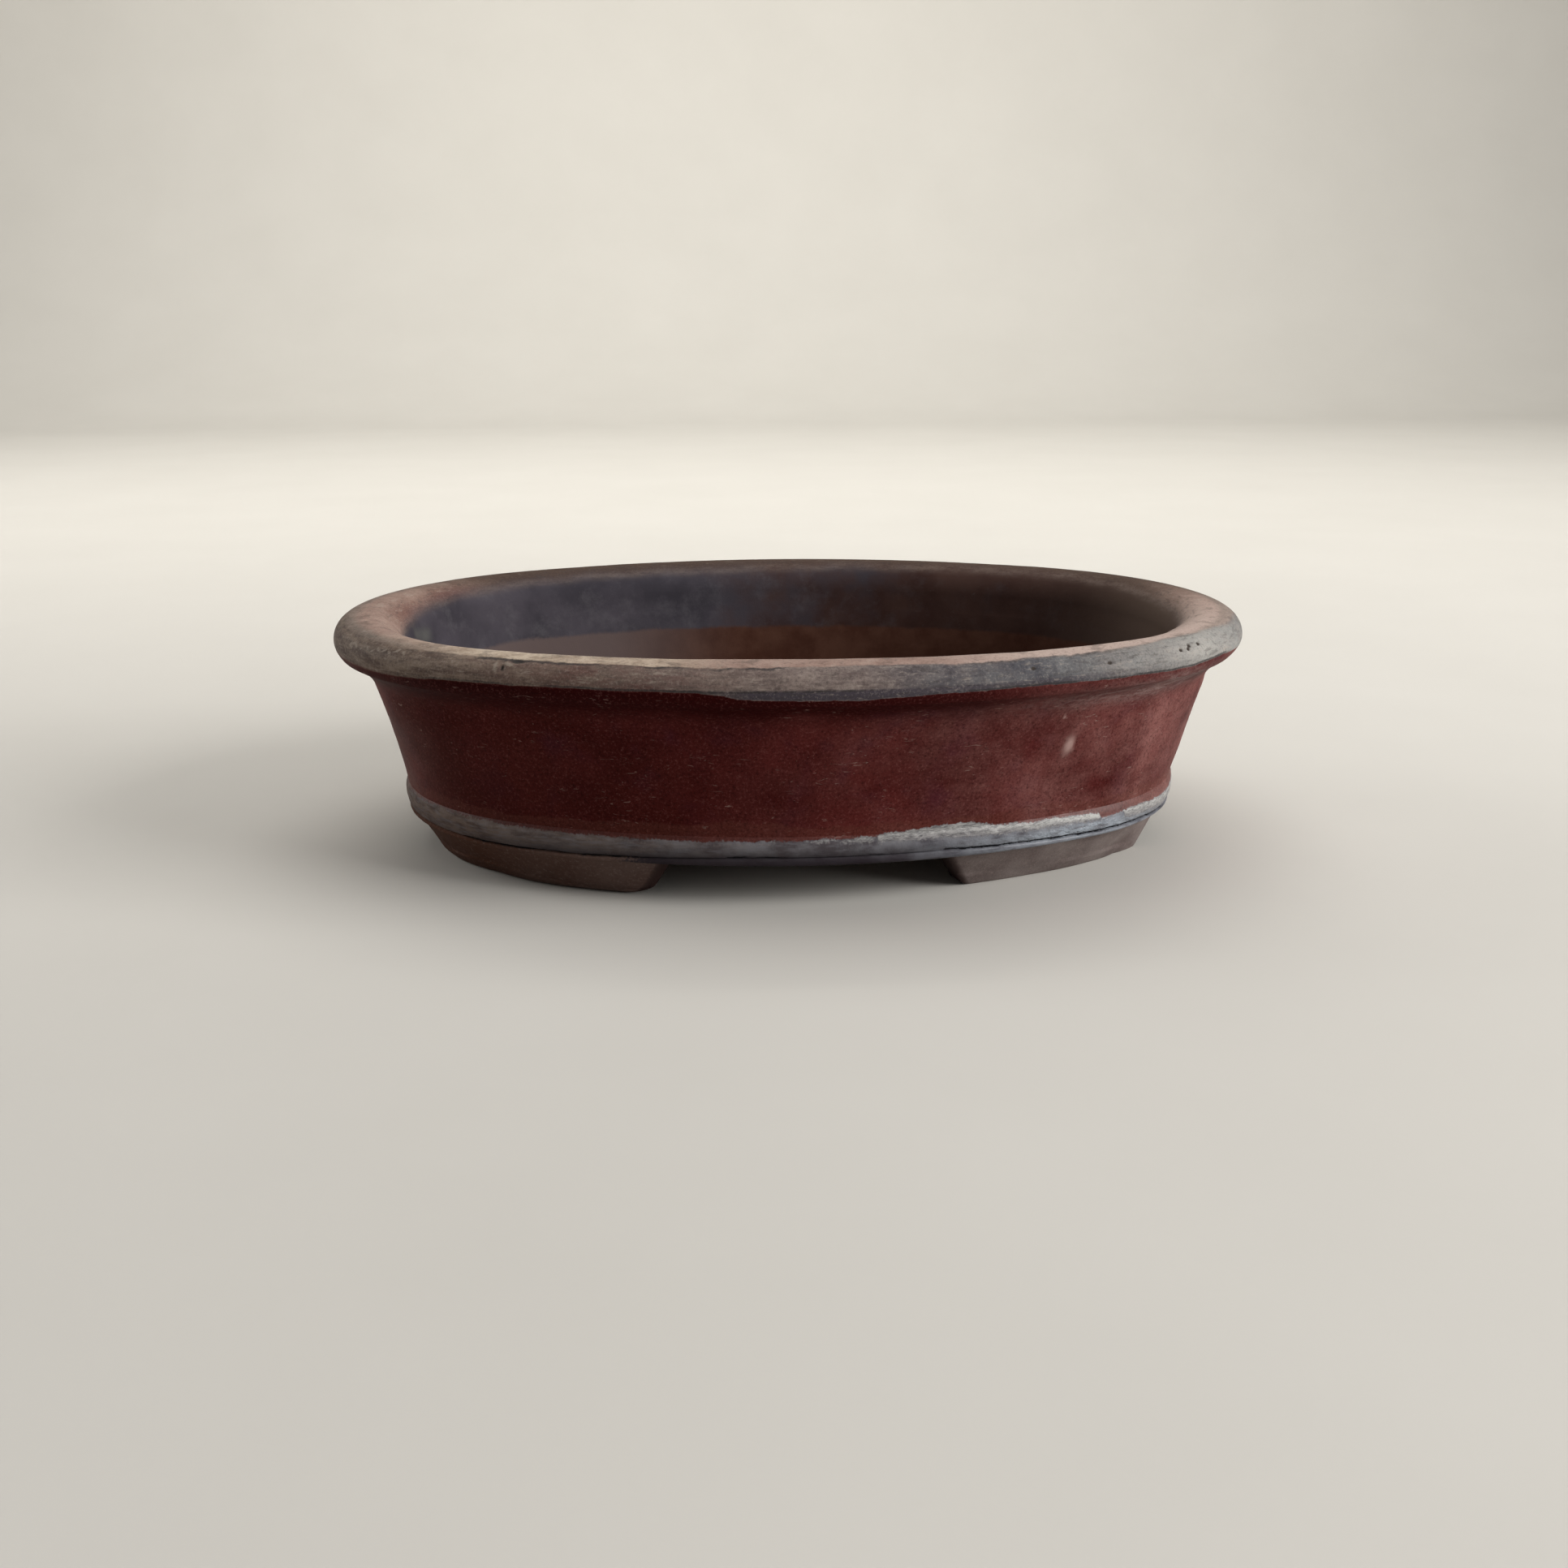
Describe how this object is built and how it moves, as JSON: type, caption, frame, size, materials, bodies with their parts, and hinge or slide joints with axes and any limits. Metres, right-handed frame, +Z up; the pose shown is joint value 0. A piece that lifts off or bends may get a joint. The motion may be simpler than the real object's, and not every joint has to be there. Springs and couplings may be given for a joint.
{
  "type": "oval bonsai pot",
  "caption": "Shallow oval stoneware bonsai pot with a flared glazed wall, rolled rim, belted base, bracket feet and drainage holes.",
  "frame": {"origin": "centre of the plane that the feet rest on, midway along the pot's length and width", "axes": "+X along the pot's length, to the right seen from the front; +Z up; the front of the pot faces -Y"},
  "size_m": [0.1412, 0.1016, 0.0364],
  "materials": {
    "bare_clay": "matt unglazed brown stoneware",
    "red_glaze": "satin oxblood glaze, dusty",
    "rim_glaze": "satin tan to blue-grey glaze",
    "belt_glaze": "crusty blue-grey glaze with a pale metallic edge"
  },
  "bodies": {
    "root": {"floor_slab": "bare_clay", "wall": "red_glaze", "rim": "rim_glaze", "belt": "belt_glaze", "foot_front_left": "bare_clay", "foot_front_right": "bare_clay", "foot_back_left": "bare_clay", "foot_back_right": "bare_clay"}
  },
  "joints": []
}
